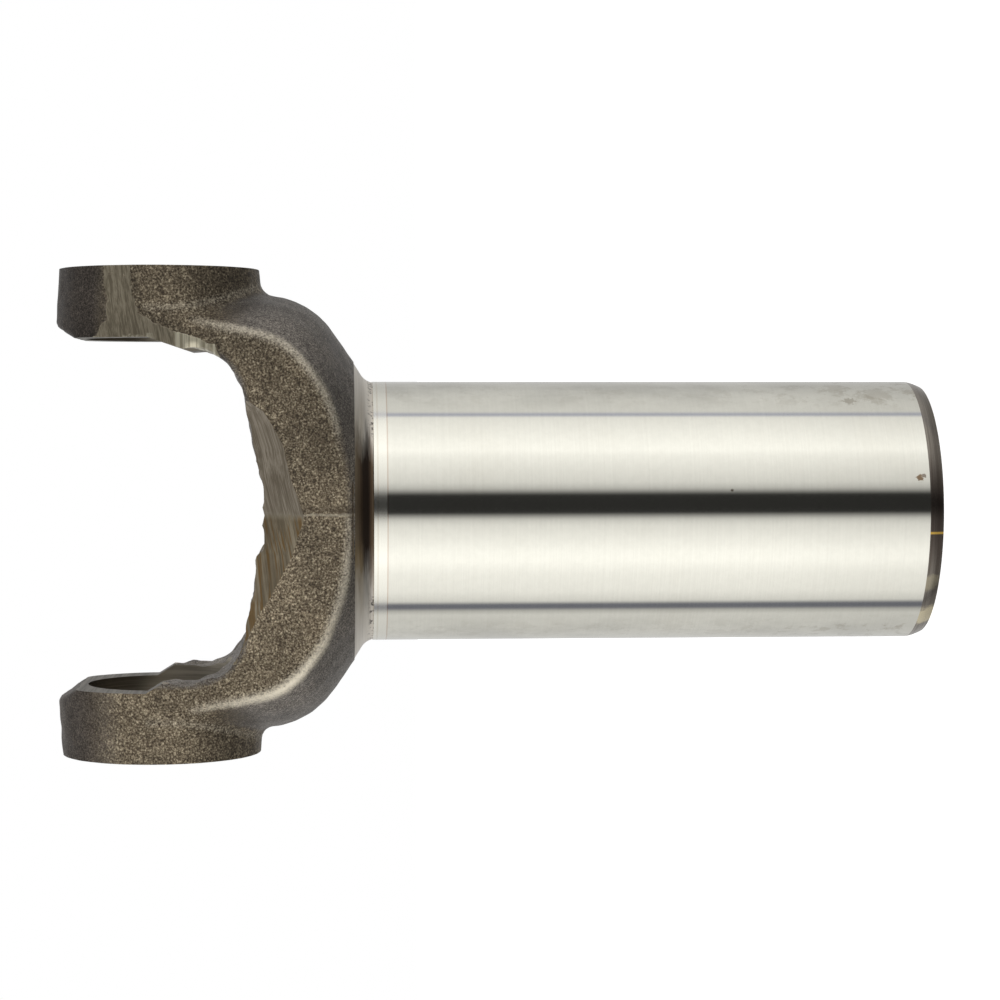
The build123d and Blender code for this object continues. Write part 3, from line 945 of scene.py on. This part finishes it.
def neck_steel():
    """Turned steel with a brown stain round its middle, torn at its ends, and pits beside the barrel."""
    material, tree, surface = new_material("turned_steel")
    where, x, _, z = place_nodes(tree)
    lines = tool_lines(tree, where, (60, 60, 5200))
    tone = mix_node(tree, lines["Lines"], *NECK_TONES)
    wander = noise_node(tree, stretched(tree, where, (110, 110, 1500)), 1.0, 3.0, 0.6)
    reach = minus(tree, x, NECK_STAIN_WANDER / 2 * MM)
    reach = scaled(tree, wander, NECK_STAIN_WANDER * MM, reach)
    reach = scaled(tree, reach, 1 / (NECK_STAIN_LENGTH * MM), 0.5)
    stain_share = ramp_node(tree, reach, [(at, (share, share, share)) for at, share in NECK_STAINED])
    column = scaled(tree, lines["Height"], NECK_STAIN_TORN * MM, minus(tree, z, NECK_STAIN_Z * MM))
    column = times(tree, column, 1 / (NECK_STAIN_HEIGHT * MM))
    gold = times(tree, range_node(tree, column, 0.55, 0.75), along(tree, x, NECK_GOLD_X, 0.0, 0.6))
    brown = mix_node(tree, gold, ramp_node(tree, column, NECK_STAIN), NECK_GOLD)
    tone = mix_node(tree, stain_share, tone, brown)
    pits = range_node(tree, noise_node(tree, where, 1300.0, 2.0, 0.6), 0.54, 0.61)
    line = along(tree, unsigned(tree, minus(tree, z, NECK_PITS_Z * MM)), NECK_PITS_WIDTH, 0.8, 0.0)
    pits = times(tree, pits, times(tree, line, along(tree, unsigned(tree, x), NECK_PITS_X)))
    tone = mix_node(tree, pits, tone, NECK_PIT)
    rough = scaled(tree, stain_share, 0.08, 0.38)
    coat(tree, surface, tone, bump_node(tree, lines["Height"], NECK_DEPTH), rough, TURNED_METAL)
    return material


turned_steel = neck_steel()
cone_corner = SHOULDER_HEIGHT - (NECK_TOP_RADIUS - BARREL_RADIUS) / math.tan(NECK_CONE)
tangent = NECK_FILLET * math.tan(NECK_CONE / 2)
neck = []
for step in range(NECK_FIRST_STEP, NECK_STEPS + 1):
    lean = NECK_CONE * step / NECK_STEPS
    relief = NECK_RELIEF * (1 - step / NECK_STEPS)
    neck.append((
        BARREL_RADIUS - relief + NECK_FILLET * (1 - math.cos(lean)),
        cone_corner - tangent + NECK_FILLET * math.sin(lean),
    ))

# Lead chamfer
# The barrel's end is turned to a crowned chamfer that leads it into the seal. It is dark, darkest in the
# middle, with light spots and a thin streak of gold on its front and back. Chamfer, barrel and neck make one
# turned body, which is joined to the head later.
LEAD_CHAMFER = (0.85, 2.6)
LEAD_CROWN = 1.5
LEAD_STEPS = (0, 0.2, 0.45, 0.72)
CHAMFER_TONES = ((0.20, 0.175, 0.145, 1), (0.36, 0.325, 0.28, 1))
CHAMFER_DARK_MIDDLE = (0.050, 0.034, 0.028, 1)
CHAMFER_DARK_MIDDLE_X = (4, 15)
CHAMFER_STREAK = (0.78, 0.50, 0.10, 1)
CHAMFER_STREAK_X = -3.4
CHAMFER_STREAK_WIDTH = (0.1, 0.3)
CHAMFER_DEPTH = 0.01
CHAMFER_ROUGHNESS = 0.24
CHAMFER_LIGHT_SPOTS = (
    ((-18.9, -14.0, 1.3), 3.4, 0.85, (0.86, 0.76, 0.52, 1)),
    ((-12.5, -20.0, 1.6), 2.2, 0.55, (0.55, 0.49, 0.34, 1)),
)


def lead_steel():
    """Dark turned steel, darker in the middle, with light spots and a thin streak of gold on two sides."""
    material, tree, surface = new_material("chamfer_steel")
    where, x, _, _ = place_nodes(tree)
    lines = tool_lines(tree, where, (60, 60, 5200))
    tone = mix_node(tree, lines["Lines"], *CHAMFER_TONES)
    # Darker towards the middle of the front and back.
    dark_middle = along(tree, unsigned(tree, x), CHAMFER_DARK_MIDDLE_X, 0.75, 0.0)
    tone = stained(tree, mix_node(tree, dark_middle, tone, CHAMFER_DARK_MIDDLE), CHAMFER_LIGHT_SPOTS, 0.3)
    off = unsigned(tree, minus(tree, x, CHAMFER_STREAK_X * MM))
    streak = along(tree, off, CHAMFER_STREAK_WIDTH, 0.9, 0.0)
    tone = mix_node(tree, streak, tone, CHAMFER_STREAK)
    relief = bump_node(tree, lines["Height"], CHAMFER_DEPTH)
    coat(tree, surface, tone, relief, CHAMFER_ROUGHNESS, TURNED_METAL)
    return material


def lathed(name, outline, segments, materials, finish=None, axis="Z"):
    """A body turned about an axis, from an outline of radius and height that starts and ends on it."""
    points = []
    faces = []
    shares = []
    turns = [math.tau * i / segments for i in range(segments)]
    for radius, height in outline:
        for turn in turns:
            point = (radius * math.cos(turn), radius * math.sin(turn), height)
            points.append(point if axis == "Z" else (height, point[0], point[1]))
    for row in range(len(outline) - 1):
        for i in range(segments):
            j = (i + 1) % segments
            a, b = row * segments + i, row * segments + j
            faces.append((a, b, b + segments, a + segments))
            shares.append(finish[row] if finish else 0)
    return body(name, points, faces, materials, shares)


chamfer_steel = lead_steel()
inset, rise = LEAD_CHAMFER
lead = [(BARREL_RADIUS - inset * (1 - a) ** LEAD_CROWN, rise * a) for a in (*LEAD_STEPS, 1)]
outline = [
    (0, 0), *lead, (BARREL_RADIUS, neck[0][1] - NECK_LIP),
    *neck, (NECK_TOP_RADIUS, SHOULDER_HEIGHT),
    (NECK_TOP_RADIUS + NECK_OVERLAP * math.tan(NECK_CONE), SHOULDER_HEIGHT + NECK_OVERLAP), (0, BASE_HEIGHT),
]
finish = [2] * len(lead) + [0] + [1] * (len(outline) - len(lead) - 2)
barrel = lathed("barrel", outline, BARREL_SEGMENTS, [ground_steel, turned_steel, chamfer_steel], finish)

# Cross bore
# One bore runs through both ears for the bearing caps of the cross. A ring groove is turned near each ear's
# outer face and the rim is chamfered. Its upper half lies in the shade of the ears.
CROSS_BORE_RADIUS = 13.495
CROSS_BORE_CHAMFER = 0.5
RING_GROOVE_RADIUS = 14.5
RING_GROOVE = (40.85, 42.45)
BORE_SEGMENTS = 128
BORE_TONES = ((0.40, 0.355, 0.285, 1), (0.60, 0.545, 0.45, 1))
BORE_SHADED_Z = (138.5, 148.0)

bored_steel = lined_steel("bored_steel", BORE_TONES, (6000, 60, 60), 0.008, shaded=BORE_SHADED_Z)
inner, end = RING_GROOVE
outer = EAR_SPAN / 2
side = [
    (CROSS_BORE_RADIUS, inner), (RING_GROOVE_RADIUS, inner), (RING_GROOVE_RADIUS, end),
    (CROSS_BORE_RADIUS, end), (CROSS_BORE_RADIUS, outer - CROSS_BORE_CHAMFER),
    (CROSS_BORE_RADIUS + 2 * CROSS_BORE_CHAMFER, outer + CROSS_BORE_CHAMFER), (0, outer + CROSS_BORE_CHAMFER),
]
outline = [(radius, -height) for radius, height in reversed(side)] + side
cross_bore = lathed("cross_bore", outline, BORE_SEGMENTS, [bored_steel], axis="X")
for vertex in cross_bore.data.vertices:
    vertex.co.z += CROSS_HEIGHT * MM

# Splined bore
# The barrel has a plain mouth at its end, and its bore is broached to a spline for the shaft. A wider seat
# at the bottom of the crotch takes the plug. The teeth have straight flanks at the pressure angle.
MOUTH_RADIUS = 18.5
MOUTH_DEPTH = 9.0
MOUTH_CHAMFER = 1.0
PLUG_SEAT_RADIUS = 19.0
PLUG_SEAT_HEIGHT = 117.0
SPLINE_TEETH = 32
SPLINE_PITCH_RADIUS = 16.935
SPLINE_ROOT_RADIUS = 17.6
SPLINE_TIP_RADIUS = 16.4
SPLINE_ANGLE = math.radians(30.0)
SEAT_TOP = 137
BROACH_OVERLAP = 1
POINTS_A_TOOTH = 4.0
BROACHED_TONES = ((0.26, 0.25, 0.22, 1), (0.50, 0.48, 0.44, 1))

broached_steel = lined_steel("broached_steel", BROACHED_TONES, (5200, 5200, 50), 0.03)
outline = [
    (0, -MOUTH_CHAMFER), (MOUTH_RADIUS + 2 * MOUTH_CHAMFER, -MOUTH_CHAMFER), (MOUTH_RADIUS, MOUTH_CHAMFER),
    (MOUTH_RADIUS, MOUTH_DEPTH), (0, MOUTH_DEPTH),
]
mouth = lathed("mouth", outline, BORE_SEGMENTS, [bored_steel])
outline = [
    (0, PLUG_SEAT_HEIGHT), (PLUG_SEAT_RADIUS, PLUG_SEAT_HEIGHT), (PLUG_SEAT_RADIUS, SEAT_TOP), (0, SEAT_TOP),
]
seat = lathed("seat", outline, BORE_SEGMENTS, [bored_steel])


def broach_tree():
    """Star-shaped section of the splined bore, drawn by rule from a circle and swept up the bore."""
    tree = bpy.data.node_groups.new("broach", "GeometryNodeTree")
    tree.is_modifier = True
    sizes = {}
    for name, kind in (
        ("Teeth", "Int"), ("Root Radius", "Float"), ("Tip Radius", "Float"), ("Root Angle", "Float"),
        ("Tip Angle", "Float"), ("Start", "Float"), ("End", "Float"), ("Finish", "Material"),
    ):
        socket = tree.interface.new_socket(name, in_out="INPUT", socket_type="NodeSocket" + kind)
        sizes[name] = socket.identifier
    tree.interface.new_socket("Geometry", in_out="OUTPUT", socket_type="NodeSocketGeometry")
    given = add_node(tree, "NodeGroupInput").outputs
    index = add_node(tree, "GeometryNodeInputIndex").outputs[0]
    step = minus(tree, math_node(tree, "MODULO", index, POINTS_A_TOOTH), (POINTS_A_TOOTH - 1) / 2)
    at_tip = math_node(tree, "GREATER_THAN", unsigned(tree, step), 1.0)
    tooth = math_node(tree, "FLOOR", math_node(tree, "DIVIDE", index, POINTS_A_TOOTH))
    turn = times(tree, math_node(tree, "DIVIDE", tooth, given["Teeth"]), math.tau)
    half = minus(tree, given["Tip Angle"], given["Root Angle"])
    half = scaled(tree, half, at_tip, given["Root Angle"])
    angle = scaled(tree, math_node(tree, "SIGN", step), half, turn)
    radius = minus(tree, given["Tip Radius"], given["Root Radius"])
    radius = scaled(tree, radius, at_tip, given["Root Radius"])
    spot = add_node(tree, "ShaderNodeCombineXYZ")
    tree.links.new(times(tree, radius, math_node(tree, "COSINE", angle)), spot.inputs["X"])
    tree.links.new(times(tree, radius, math_node(tree, "SINE", angle)), spot.inputs["Y"])
    circle = add_node(tree, "GeometryNodeCurvePrimitiveCircle", mode="RADIUS")
    tree.links.new(times(tree, given["Teeth"], POINTS_A_TOOTH), circle.inputs["Resolution"])
    star = add_node(tree, "GeometryNodeSetPosition")
    tree.links.new(circle.outputs[0], star.inputs["Geometry"])
    tree.links.new(spot.outputs[0], star.inputs["Position"])
    line = add_node(tree, "GeometryNodeCurvePrimitiveLine", mode="POINTS")
    for name in ("Start", "End"):
        mark = add_node(tree, "ShaderNodeCombineXYZ")
        tree.links.new(given[name], mark.inputs["Z"])
        tree.links.new(mark.outputs[0], line.inputs[name])
    sweep = add_node(tree, "GeometryNodeCurveToMesh")
    sweep.inputs["Fill Caps"].default_value = True
    tree.links.new(line.outputs[0], sweep.inputs["Curve"])
    tree.links.new(star.outputs[0], sweep.inputs["Profile Curve"])
    real = add_node(tree, "GeometryNodeRealizeInstances")
    tree.links.new(sweep.outputs[0], real.inputs["Geometry"])
    paint = add_node(tree, "GeometryNodeSetMaterial")
    tree.links.new(real.outputs[0], paint.inputs["Geometry"])
    tree.links.new(given["Finish"], paint.inputs["Material"])
    tree.links.new(paint.outputs[0], add_node(tree, "NodeGroupOutput").inputs["Geometry"])
    return tree, sizes


def finished(thing, name):
    """The mesh of an object with all its modifiers worked out, as a new object."""
    graph = bpy.context.evaluated_depsgraph_get()
    mesh = bpy.data.meshes.new_from_object(thing.evaluated_get(graph), depsgraph=graph)
    mesh.name = name
    result = bpy.data.objects.new(name, mesh)
    bpy.context.scene.collection.objects.link(result)
    return result


space = math.pi * SPLINE_PITCH_RADIUS / SPLINE_TEETH
lean = 2 * math.tan(SPLINE_ANGLE)
root_angle = (space - lean * (SPLINE_ROOT_RADIUS - SPLINE_PITCH_RADIUS)) / 2 / SPLINE_ROOT_RADIUS
tip_angle = (space + lean * (SPLINE_PITCH_RADIUS - SPLINE_TIP_RADIUS)) / 2 / SPLINE_TIP_RADIUS
seed = bpy.data.objects.new("broach_seed", bpy.data.meshes.new("broach_seed"))
bpy.context.scene.collection.objects.link(seed)
tree, sizes = broach_tree()
sweep = seed.modifiers.new("broach", "NODES")
sweep.node_group = tree
for name, value in (
    ("Teeth", SPLINE_TEETH), ("Root Radius", SPLINE_ROOT_RADIUS * MM), ("Tip Radius", SPLINE_TIP_RADIUS * MM),
    ("Root Angle", root_angle), ("Tip Angle", tip_angle), ("Start", (MOUTH_DEPTH - BROACH_OVERLAP) * MM),
    ("End", (PLUG_SEAT_HEIGHT + BROACH_OVERLAP) * MM), ("Finish", broached_steel),
):
    sweep[sizes[name]] = value
broach = finished(seed, "broach")
cleaned(broach.data)
bpy.data.objects.remove(seed)

# Yoke
# All of the above is one piece of steel. The head is faced, milled and ground, the barrel is joined under
# it, and then the holes are cut through both, in the order in which they are named here.
steps = [
    (facing, "INTERSECT"), (slot, "DIFFERENCE"), (facets[0], "DIFFERENCE"), (facets[1], "DIFFERENCE"),
    (ear_flat, "DIFFERENCE"), (barrel, "UNION"), (cross_bore, "DIFFERENCE"), (broach, "DIFFERENCE"),
    (mouth, "DIFFERENCE"), (seat, "DIFFERENCE"),
]
for tool, operation in steps:
    cut = forging.modifiers.new(tool.name, "BOOLEAN")
    cut.operation = operation
    cut.object = tool
    cut.solver = "MANIFOLD"
    cut.material_mode = "TRANSFER"
yoke = finished(forging, "yoke_steelwork")
for thing in [forging] + [tool for tool, operation in steps]:
    bpy.data.objects.remove(thing)

# Worn places and painted highlights
# Three numbers at each point of the yoke tell its skin where it is coarse, where its ridges are worn light
# and carry a painted highlight, which also lies on a band along the foot of each boss, and how far it lies
# inside the patch that a grinder has cleaned on one ear. Distances are in millimetres.
COARSE_FLANK = (-1.0, 1.2)
COARSE_BOSS = (-1.2, -0.4)
COARSE_EAR_Z = (123.5, 131.5)
SMOOTH_TIP = ((0.42, 0.60), (0.28, 0.74))
CROTCH_EDGE = (0.3, 1.0)
RIDGE_WIDTH = 1.5
RIDGE_FOOT_Z = ((106.5, 109.0), (105.6, 106.8))
RIDGE_TOP_Z = (131, 141)
RIDGE_WEAR_AND_HIGHLIGHT = (0.60, 0.68)
RIDGE_EXTRA = 0.32
RIDGE_EXTRA_Z = 117.5
RIDGE_EXTRA_REACH = 7
BOSS_FOOT_HIGHLIGHT = 0.45
BOSS_FOOT_PLACE = 1.6
BOSS_FOOT_WIDTH = 1.1
BOSS_FOOT_END = 0.1
PATCH_OUTLINE = (
    (150.2, 46), (149.8, 38.3), (149.6, 35.5), (151.4, 32.1), (153, 30), (153, 28), (129.2, 28),
    (130.3, 30.3), (132.6, 31.2), (136, 32.3), (140.05, 33.8), (143.7, 35.9), (144.8, 39), (145.5, 46),
)
PATCH_SIDE = (25, -4)
FAR_AWAY = -9.0
SHARP_ANGLE = math.radians(33)


def eased(value, span):
    """A share that eases from 0 to 1 while a value goes from one end of a span to the other."""
    share = np.clip((value - span[0]) / (span[1] - span[0]), 0, 1)
    return share * share * (3 - 2 * share)


def bell_curve(value, width):
    """A share that is 1 where a value is 0 and fades over a width on both sides."""
    return np.exp(-((value / width) ** 2))


def depth_inside(outline, u, v):
    """How far points lie inside an outline, and as a negative number how far outside it."""
    depth = np.full_like(u, FAR_AWAY)
    inside = np.zeros_like(u, dtype=bool)
    for (u1, v1), (u2, v2) in zip(outline, outline[1:] + outline[:1]):
        length = (u2 - u1) ** 2 + (v2 - v1) ** 2
        share = np.clip(((u - u1) * (u2 - u1) + (v - v1) * (v2 - v1)) / length, 0, 1)
        away = np.hypot(u - u1 - share * (u2 - u1), v - v1 - share * (v2 - v1))
        depth = np.maximum(depth, -away)
        if v1 != v2:
            between = (v1 > v) != (v2 > v)
            inside ^= between & (u < u1 + (v - v1) * (u2 - u1) / (v2 - v1))
    return np.where(inside, -depth, depth)


x, y, z = (np.array([vertex.co[:] for vertex in yoke.data.vertices]) / MM).T
upper = x > 0
over_flank = flank_field(x, y, z) - bell_field(x, y, z)
on_boss = eased(-np.abs(boss_field(x, y, z)), COARSE_BOSS)
toward_tip = (z - CROSS_HEIGHT) / np.maximum(np.hypot(y, z - CROSS_HEIGHT), 1)
outside = eased(crotch_field(x, y, z), CROTCH_EDGE)
coarse = np.maximum(eased(over_flank, COARSE_FLANK), on_boss)
coarse = np.maximum(coarse, eased(z, COARSE_EAR_Z))
coarse *= 1 - np.where(upper, eased(toward_tip, SMOOTH_TIP[0]), eased(toward_tip, SMOOTH_TIP[1]))
coarse *= outside
# Worn light and painted highlight along the ridges, stronger on the arm at negative x.
wear_and_highlight = RIDGE_WEAR_AND_HIGHLIGHT[1] + RIDGE_EXTRA * bell_curve(z - RIDGE_EXTRA_Z, RIDGE_EXTRA_REACH)
wear_and_highlight = np.where(upper, RIDGE_WEAR_AND_HIGHLIGHT[0], wear_and_highlight)
foot = np.where(upper, eased(z, RIDGE_FOOT_Z[0]), eased(z, RIDGE_FOOT_Z[1]))
near_ridge = bell_curve(over_flank, RIDGE_WIDTH) * (1 - on_boss) * (z < CROSS_HEIGHT)
# Painted highlight on a band along the foot of each boss.
near_foot = bell_curve(bell_field(x, y, z) - BOSS_FOOT_PLACE, BOSS_FOOT_WIDTH) * on_boss
near_foot *= toward_tip < BOSS_FOOT_END
ridge = np.clip(near_ridge * wear_and_highlight, 0, 1) * foot * (1 - eased(z, RIDGE_TOP_Z))
ridge = (ridge + BOSS_FOOT_HIGHLIGHT * near_foot) * outside
ground = depth_inside(PATCH_OUTLINE, z, x)
ground = np.where((x > PATCH_SIDE[0]) & (y < PATCH_SIDE[1]), ground, FAR_AWAY)
for name, values in (("coarse", coarse), ("ridge", ridge), ("ground", ground)):
    layer = yoke.data.attributes.new(name, "FLOAT", "POINT")
    layer.data.foreach_set("value", np.ascontiguousarray(values, dtype=np.float32))
yoke.data.shade_smooth()
yoke.data.set_sharp_from_angle(angle=SHARP_ANGLE)
edit = bmesh.new()
edit.from_mesh(yoke.data)
for edge in edit.edges:
    if len({face.material_index for face in edge.link_faces}) > 1:
        edge.smooth = False
edit.to_mesh(yoke.data)
edit.free()
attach(yoke, "root")
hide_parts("yoke")

# Plug
# A shallow cup pressed from sheet steel closes the splined bore at the bottom of the crotch. It is pressed
# into its seat, and its surface is dull from the drawing.
PLUG_TONES = ((0.34, 0.33, 0.30, 1), (0.46, 0.45, 0.41, 1))

plug_steel = lined_steel("plug_steel", PLUG_TONES, (700, 700, 700), 0.02)
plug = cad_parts["seal_plug"]
plug.data.materials.clear()
plug.data.materials.append(plug_steel)
